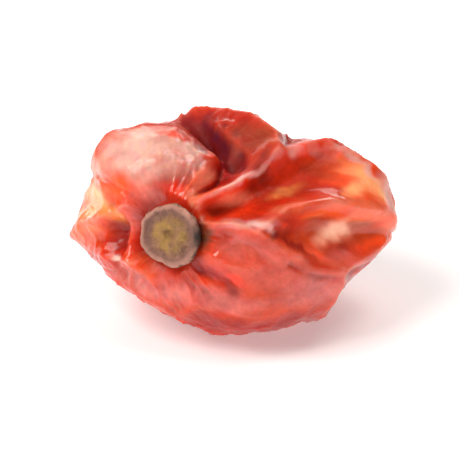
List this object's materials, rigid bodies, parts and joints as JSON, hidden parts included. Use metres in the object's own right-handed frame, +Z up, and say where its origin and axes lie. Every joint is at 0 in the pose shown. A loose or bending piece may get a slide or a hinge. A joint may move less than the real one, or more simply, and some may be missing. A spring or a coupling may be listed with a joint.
{
  "type": "dried barberry",
  "caption": "Dried barberry lying on its belly: a shrunken, glossy red berry with folded skin, a round corky stigma disc at its tip and a short stalk stub at its other end.",
  "frame": {"origin": "on the surface that the berry lies on, under the middle of the whole berry's box", "axes": "+Z up; +X along the berry's widest side, to the right as the disc is faced; -Y towards the side that the stigma disc looks out of"},
  "size_m": [0.0084, 0.0064, 0.0053],
  "materials": {
    "dried_skin": "glossy, translucent, wrinkled dried fruit skin, orange where thin and purple-brown in the folds",
    "disc_cork": "dull corky olive-brown rim with a golden-brown middle",
    "stalk_wood": "dull, rough dry stalk"
  },
  "bodies": {
    "root": {"berry_body": "dried_skin", "stigma_disc": "disc_cork", "stalk_stub": "stalk_wood"}
  },
  "joints": []
}
